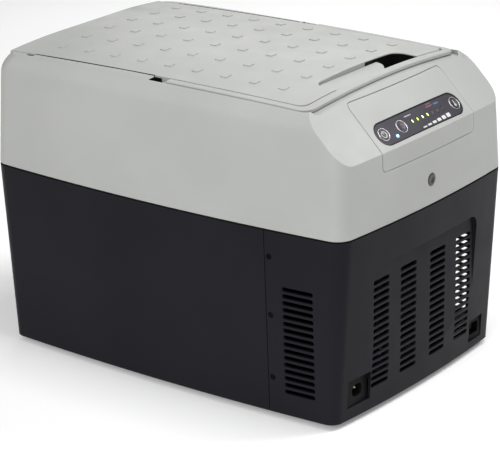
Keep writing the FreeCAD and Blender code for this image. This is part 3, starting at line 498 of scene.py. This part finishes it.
# printed symbols on the caps, between these depths below the cap's rim; the dish is cut by them
symbols = {"deep": 0.4 * mm, "shallow": 0.06 * mm,
           "power": {"radius": 3.3 * mm, "line": 0.95 * mm, "up": -0.2 * mm, "turn": (112, 428),
                     "stem": (0.6 * mm, 4.2 * mm)},
           "mode": {"from": -0.6 * mm, "hotTo": 2.6 * mm, "coldTo": 3.0 * mm, "up": 1.8 * mm,
                    "line": 1.9 * mm},
           "thermometer": {"bulb": 1.6 * mm, "line": 1.2 * mm, "stem": (3.8 * mm, -1.0 * mm),
                           "bulbUp": -2.2 * mm}}
symbolLow, symbolHigh = -pad["keyRecess"] - symbols["deep"], -pad["keyRecess"] - symbols["shallow"]
y = keyY["power_key"]
look = symbols["power"]
strokes("power_symbol", "power_key", "print_grey", [
    arcPath(y, look["up"], look["radius"], *look["turn"], look["line"]),
    linePath(y, look["stem"][0], y, look["stem"][1], look["line"])], symbolLow, symbolHigh)
y = keyY["mode_key"]
look = symbols["mode"]
strokes("mode_symbol_hot", "mode_key", "print_red", [
    linePath(y + look["from"], look["up"], y + look["hotTo"], look["up"], look["line"])],
    symbolLow, symbolHigh)
strokes("mode_symbol_cold", "mode_key", "print_blue", [
    linePath(y + look["from"], -look["up"], y + look["coldTo"], -look["up"], look["line"])],
    symbolLow, symbolHigh)
y = keyY["temperature_key"]
look = symbols["thermometer"]
strokes("temperature_symbol", "temperature_key", "print_grey", [
    linePath(y, look["stem"][0], y, look["stem"][1], look["line"]),
    blockPath(y, look["bulbUp"], 2 * look["bulb"], 2 * look["bulb"], roundPower)], symbolLow, symbolHigh)

# lamps: blocks with rounded corners that stand in the panel's windows
lamp = {"first": -12.0 * mm, "pitch": 8.7 * mm, "up": 0.3 * mm, "long": 2.8 * mm, "high": 4.6 * mm, "lit": 4,
        "count": 7, "core": (1.5 * mm, 3.2 * mm), "back": 3.0 * mm, "proud": 0.05 * mm,
        "coreLow": 0.2 * mm, "coreHigh": 0.25 * mm, "squareness": 8.0, "coreSquareness": 2.4}
lampY = lamp["first"] + lamp["pitch"] * np.arange(lamp["count"])
face = -pad["recess"]
inkLow, inkHigh = face - 0.1 * mm, face + pad["print"]
for name, places, slot in (("level_leds_lit", lampY[:lamp["lit"]], "glow_green"),
                           ("level_leds_unlit", lampY[lamp["lit"]:], "led_off")):
    piece = strokes(name + "_lens", name, slot, [
        blockPath(y, lamp["up"], lamp["long"], lamp["high"], lamp["squareness"]) for y in places],
        -lamp["back"], face + lamp["proud"])
    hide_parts(name)
strokes("level_lamp_cores", "level_leds_lit", "led_green", [
    blockPath(y, lamp["up"], *lamp["core"], lamp["coreSquareness"]) for y in lampY[:lamp["lit"]]],
    face - lamp["coreLow"], face + lamp["coreHigh"])

status = {"y": -44.0 * mm, "up": -6.7 * mm, "radius": 1.3 * mm, "proud": 0.3 * mm,
          "spill": (5.2 * mm, 4.6 * mm)}
piece = strokes("status_led_lens", "status_led", "led_blue", [
    blockPath(status["y"], status["up"], 2 * status["radius"], 2 * status["radius"], roundPower)],
    -lamp["back"], face + status["proud"])
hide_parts("status_led")
# painted glow: an emissive patch on the panel round the status lamp stands in for the lamp's light falling
# on the panel
strokes("status_lamp_painted_glow", "keypad_panel", "glow_blue", [
    blockPath(status["y"], status["up"], *status["spill"], roundPower)], inkLow, inkHigh)

# printed scale: blocks that grow in height along the row, the first of seven left out
scale = {"first": -9.0 * mm, "pitch": 8.5 * mm, "base": -10.6 * mm, "long": 6.0 * mm, "low": 0.8 * mm,
         "high": 4.4 * mm, "count": 7, "squareness": 9.0}
heights = np.linspace(scale["low"], scale["high"], scale["count"])
strokes("level_scale", "keypad_panel", "print_white", [
    blockPath(scale["first"] + scale["pitch"] * i, scale["base"] + heights[i] / 2, scale["long"], heights[i],
              scale["squareness"]) for i in range(1, scale["count"])], inkLow, inkHigh)

# small marks above the lamps; each block is its y, up, length and height in millimetres
markSquareness = 5.0
marks = {"hot_mark": ("print_red", [(24, 7.6, 11, 1.6), (24.5, 10.0, 9, 1.2)]),
         "cold_mark": ("print_blue", [(36.5, 7.6, 9, 1.8)]),
         "mode_mark": ("print_grey", [(-13.5, 7.4, 11, 0.9)])}
for name, (slot, blocks) in marks.items():
    strokes(name, "keypad_panel", slot, [
        blockPath(*(number * mm for number in block), markSquareness) for block in blocks], inkLow, inkHigh)
print("lamps and printing made")


# black surround that fills the gap round the panel and shows as its thick dark edge; its black is painted
# shade, the shadow round the recessed panel's rim
surround = {"inner": 0.85 * mm, "outer": 0.25 * mm, "low": 2.2 * mm, "high": 0.35 * mm, "round": 0.45 * mm,
            "steps": 22}


def stadiumPath(half, radius, count):
    # two straight runs and two half circles, walked once round
    run = np.linspace(half - radius, radius - half, count, endpoint=False)
    turn = np.linspace(np.pi / 2, 3 * np.pi / 2, count, endpoint=False)
    y = np.concatenate([run, radius - half + radius * np.cos(turn),
                        -run, half - radius - radius * np.cos(turn)])
    up = np.concatenate([radius + 0 * run, radius * np.sin(turn), -radius + 0 * run, -radius * np.sin(turn)])
    normalY = np.concatenate([0 * run, np.cos(turn), 0 * run, -np.cos(turn)])
    normalUp = np.concatenate([1 + 0 * run, np.sin(turn), -1 + 0 * run, -np.sin(turn)])
    return y, up, normalY, normalUp


y, up, normalY, normalUp = stadiumPath(pad["length"] / 2, pad["height"] / 2, surround["steps"])
turn = np.linspace(np.pi, 0, 7)
middle, half = (surround["outer"] - surround["inner"]) / 2, (surround["outer"] + surround["inner"]) / 2
across = middle + half * np.cos(turn)
rise = -surround["high"] - surround["round"] * (1 - np.sin(turn))
across = np.concatenate([[-surround["inner"]], across, [surround["outer"]]])
rise = np.concatenate([[-surround["low"]], rise, [-surround["low"]]])
grid = padPoint(y[:, None] + normalY[:, None] * across, up[:, None] + normalUp[:, None] * across, rise)
padShadeSurround = meshPiece("pad_painted_shade_surround", grid, gridFaces(len(y), len(across), wrapRows=True))
finishPiece(padShadeSurround, "keypad_panel", "soft_black")
print("pad surround made")


# ---- painted shade: black linings in the four small pockets beside the lid stand in for the shade inside them

def pocketPaintedShade(name, look, side):
    # an L section with a rounded foot, down beside the lid and out along the pocket's floor, swept
    # along X; a plate closes the end away from the console
    # the lining's black is painted shade, where the pocket lies in shadow
    r, thick = look["round"], look["thick"]
    turn = np.linspace(np.pi, 1.5 * np.pi, 7)
    y = np.concatenate([[look["y"][0]], look["y"][0] + r + r * np.cos(turn), [look["y"][1]]])
    z = np.concatenate([[look["top"]], look["floor"] + r + r * np.sin(turn), [look["floor"]]])
    inward = np.concatenate([[0.0], turn - np.pi, [np.pi / 2]])
    outerY, outerZ = y, z
    y = np.concatenate([y, (y + thick * np.cos(inward))[::-1]])
    z = np.concatenate([z, (z + thick * np.sin(inward))[::-1]])
    x = np.linspace(look["x"][0] + thick, look["x"][1], 4)
    grid = np.stack(np.broadcast_arrays(x[:, None], side * y, z), -1).reshape(-1, 3)
    faces = gridFaces(4, len(y)) + [capFace(0, len(y)), capFace(3, len(y))]
    plateY, plateZ = np.append(outerY, look["y"][1]), np.append(outerZ, look["top"])
    x = look["x"][0] + np.array([0.0, thick])
    plate = np.stack(np.broadcast_arrays(x[:, None], side * plateY, plateZ), -1).reshape(-1, 3)
    start, count = len(grid), len(plateY)
    faces += gridFaces(2, count, start=start) + [capFace(0, count, start), capFace(1, count, start)]
    piece = meshPiece(name, np.concatenate([grid, plate]), faces)
    finishPiece(piece, "upper_housing", "trim_black")


paintedShadePockets = {
    "pivot_pocket": {"x": (-18.8 * mm, -10.4 * mm), "y": (118.8 * mm, 128.0 * mm), "floor": 297.4 * mm,
                     "top": 312.6 * mm, "round": 1.2 * mm, "thick": 0.6 * mm},
    "hinge_pocket": {"x": (-183.8 * mm, -174.2 * mm), "y": (118.8 * mm, 123.3 * mm), "floor": 305.1 * mm,
                     "top": 309.6 * mm, "round": 0.8 * mm, "thick": 0.6 * mm}}
for name, look in paintedShadePockets.items():
    pocketPaintedShade(name + "_near", look, -1)
    pocketPaintedShade(name + "_far", look, 1)


# ---- painted shadow: black strips stand in the gap along each long edge of the lid, for the dark line the lid's edge shades

crown = {"x": 0.010, "z": 0.3212, "across": 1.04, "along": 6.0}
strip = {"x": (-173.8 * mm, -19.2 * mm), "y": (118.78 * mm, 119.45 * mm), "rise": 0.3 * mm,
         "deep": 5.0 * mm, "count": 24}


def crownTop(x, y):
    # height of the crowned top: an arc across Y carried along a long arc in X
    across = crown["across"] - np.sqrt(crown["across"] ** 2 - y ** 2)
    along = crown["along"] - np.sqrt(crown["along"] ** 2 - (x - crown["x"]) ** 2)
    return crown["z"] - across - along


def paintedShadowStrip(name, side):
    # a thin upright strip whose top edge stands the same height above the crown all along X
    # its black is painted shadow: the dark line under the lid's edge
    x = np.linspace(*strip["x"], strip["count"])[:, None]
    y = np.array([strip["y"][0], strip["y"][0], strip["y"][1], strip["y"][1]])
    rise = np.array([-strip["deep"], strip["rise"], strip["rise"], -strip["deep"]])
    z = crownTop(x, y) + rise
    grid = np.stack(np.broadcast_arrays(x, side * y, z), -1)
    faces = gridFaces(strip["count"], 4) + [capFace(0, 4), capFace(strip["count"] - 1, 4)]
    piece = meshPiece(name, grid, faces)
    finishPiece(piece, "upper_housing", "trim_black")


paintedShadowStrip("gap_painted_shadow_near", -1)
paintedShadowStrip("gap_painted_shadow_far", 1)


# ---- plug in the end wall: a shallow domed disc with a dished middle, and its barrel behind

plug = {"radii": (0.02, 0.25, 0.38, 0.45, 0.55, 0.75, 0.9, 0.97, 1.0, 1.0, 0.65, 0.65),
        "depths": (1.1, 1.0, 0.8, 0.25, 0.05, 0.0, 0.12, 0.35, 0.7, 2.5, 2.5), "steps": 48}


def plugDisc():
    # the radii are shares of the disc's radius, the depths are millimetres behind its front
    low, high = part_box("console_plug")
    radius, front, back = (high.y - low.y) / 2, high.x, low.x
    middle = (low.z + high.z) / 2
    r, steps = np.array(plug["radii"]) * radius, plug["steps"]
    x = np.append(front - np.array(plug["depths"]) * mm, back)
    angle = np.linspace(0, 2 * np.pi, steps, endpoint=False)
    points = np.stack([x[:, None] + 0 * angle, r[:, None] * np.cos(angle),
                       middle + r[:, None] * np.sin(angle)], -1)
    faces = gridFaces(len(r), steps) + [capFace(0, steps), capFace(len(r) - 1, steps)]
    piece = meshPiece("console_plug_disc", points, faces)
    finishPiece(piece, "console_plug")
    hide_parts("console_plug")


plugDisc()


# ---- fan rotors: a cupped hub and swept blades whose pitch falls towards the tip

# the hub's rings as shares of its radius and of its depth from the front; then the blade: its root
# as a share of the hub's radius, chord and sweep in radians, pitch and untwist in degrees, reach as
# a share of the hub's depth
rotor = {"hubRadii": (0.02, 0.8, 0.93, 0.985, 1.0, 1.0, 0.985), "steps": 56,
         "hubDepths": (0.04, 0.0, 0.03, 0.09, 0.17, 0.97, 1.0, 1.0), "root": 0.97, "rows": 9,
         "columns": 16, "chord": 0.42, "widen": 0.1, "tipTrim": 0.12, "trimPower": 6, "taper": 0.45,
         "pitch": 42, "untwist": 12, "sweep": 0.35, "sweepPower": 1.5, "wrap": 0.8, "reach": 0.42}


def fanRotor(node, look):
    low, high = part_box(node)
    axisY, axisZ = (low.y + high.y) / 2, (low.z + high.z) / 2
    tip = (high.z - low.z) / 2
    hub, steps = look["hub"], rotor["steps"]
    front, back = low.x + look["front"], low.x + look["front"] + look["deep"]
    deep = back - front
    angle = np.linspace(0, 2 * np.pi, steps, endpoint=False)
    r = np.append(np.array(rotor["hubRadii"]) * hub, [look["shaft"]] * 2)
    x = np.append(front + np.array(rotor["hubDepths"]) * deep, high.x)
    points = [np.stack([x[:, None] + 0 * angle, axisY + r[:, None] * np.cos(angle),
                        axisZ + r[:, None] * np.sin(angle)], -1).reshape(-1, 3)]
    faces = gridFaces(len(r), steps) + [capFace(0, steps), capFace(len(r) - 1, steps)]
    start = len(r) * steps
    # blade: radius runs over s, the section runs round t; the chord is swept back and twisted
    rows, columns = rotor["rows"], rotor["columns"]
    s = np.linspace(0, 1, rows)[:, None]
    t = np.linspace(0, 2 * np.pi, columns, endpoint=False)[None, :]
    span = hub * rotor["root"] + (tip - hub * rotor["root"]) * s
    chord = (rotor["chord"] + rotor["widen"] * s) * (1 - rotor["tipTrim"] * s ** rotor["trimPower"])
    alongChord = np.cos(t)
    thick = look["thick"] * np.sin(t) * (1 - rotor["taper"] * alongChord)
    rootPitch = math.radians(rotor["pitch"])
    pitch = rootPitch - math.radians(rotor["untwist"]) * s
    lean = rotor["reach"] * np.sin(pitch) / math.sin(rootPitch)
    bladeX = (front + back) / 2 + alongChord * deep * lean + thick
    for i in range(look["blades"]):
        turn = 2 * np.pi * i / look["blades"] + rotor["sweep"] * s ** rotor["sweepPower"]
        theta = turn + chord * alongChord * np.cos(pitch) * rotor["wrap"]
        grid = np.stack([bladeX, axisY + span * np.cos(theta), axisZ + span * np.sin(theta)], -1)
        points.append(grid.reshape(-1, 3))
        faces += gridFaces(rows, columns, start=start)
        faces += [capFace(0, columns, start), capFace(rows - 1, columns, start)]
        start += rows * columns
    piece = meshPiece(node + "_swept", np.concatenate(points), faces)
    finishPiece(piece, node)
    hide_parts(node)


fanRotor("hot_fan_rotor", {"hub": 18.4 * mm, "front": 0.8 * mm, "deep": 20.4 * mm, "shaft": 1.5 * mm,
                           "thick": 0.8 * mm, "blades": 7})
fanRotor("cold_fan_rotor", {"hub": 12.0 * mm, "front": 0.8 * mm, "deep": 10.4 * mm, "shaft": 1.5 * mm,
                            "thick": 0.6 * mm, "blades": 7})
print("fan rotors made")


# ---- studio

studio = {"floor": 9.0, "camera": (1.3932, -1.80191, 0.95093), "turn": (70.09, 1.16, 37.25), "lens": 169.15,
          "world": 0.08, "bright": 1.18, "brightTowards": (0.0, -0.985, 0.17)}
lights = {
    "topBox": {"place": (0.4, 0.0, 1.6), "aim": (0.1, 0, 0.3), "size": 0.6, "power": 12.5},
    "backBox": {"place": (1.0, 1.05, 1.5), "aim": (0.1, 0, 0.3), "size": 0.7, "power": 16.5},
    "frontBox": {"place": (0.5, -1.7, 0.9), "aim": (0.05, 0, 0.2), "size": 0.8, "power": 11.0},
    "rimBox": {"place": (-0.9, 1.3, 0.9), "aim": (0.05, 0, 0.2), "size": 0.8, "power": 4.0},
}

floorMesh = bpy.data.meshes.new("floor")
reach = studio["floor"]
floorMesh.from_pydata([(-reach, -reach, 0), (reach, -reach, 0), (reach, reach, 0), (-reach, reach, 0)], [],
                      [(0, 1, 2, 3)])
floor = bpy.data.objects.new("floor", floorMesh)
scene.collection.objects.link(floor)
floorMesh.materials.append(mouldedPlastic("paleFloor", {
    "dark": (0.86, 0.86, 0.86), "light": (0.88, 0.88, 0.88), "rough": (0.7, 0.8), "drift": 2.0, "bump": 0.0,
    "extra": {"Emission Color": (1, 1, 1, 1), "Emission Strength": 0.17, "Specular IOR Level": 0.1}}))

for name, look in lights.items():
    data = bpy.data.lights.new(name, "AREA")
    data.shape = "SQUARE"
    data.size = look["size"]
    data.energy = look["power"]
    lightObject = bpy.data.objects.new(name, data)
    lightObject.location = look["place"]
    aim = Vector(look["aim"]) - Vector(look["place"])
    lightObject.rotation_euler = aim.to_track_quat("-Z", "Y").to_euler()
    scene.collection.objects.link(lightObject)

# dim surroundings that brighten towards the near long side
world = bpy.data.worlds.new("studio")
world.use_nodes = True
worldTree = world.node_tree
direction = worldTree.nodes.new("ShaderNodeTexCoord")
facing = worldTree.nodes.new("ShaderNodeVectorMath")
facing.operation = "DOT_PRODUCT"
facing.inputs[1].default_value = studio["brightTowards"]
patch = worldTree.nodes.new("ShaderNodeMapRange")
patch.inputs["To Min"].default_value = studio["world"]
patch.inputs["To Max"].default_value = studio["bright"]
worldTree.links.new(direction.outputs["Generated"], facing.inputs[0])
worldTree.links.new(facing.outputs["Value"], patch.inputs["Value"])
worldTree.links.new(patch.outputs["Result"], worldTree.nodes["Background"].inputs["Strength"])
worldTree.nodes["Background"].inputs["Color"].default_value = (1, 1, 1, 1)
scene.world = world
scene.view_settings.view_transform = "Standard"

cameraData = bpy.data.cameras.new("camera")
cameraData.lens = studio["lens"]
cameraData.sensor_width = 36.0
camera = bpy.data.objects.new("camera", cameraData)
camera.location = studio["camera"]
camera.rotation_euler = [math.radians(a) for a in studio["turn"]]
scene.collection.objects.link(camera)
scene.camera = camera
print("studio made")
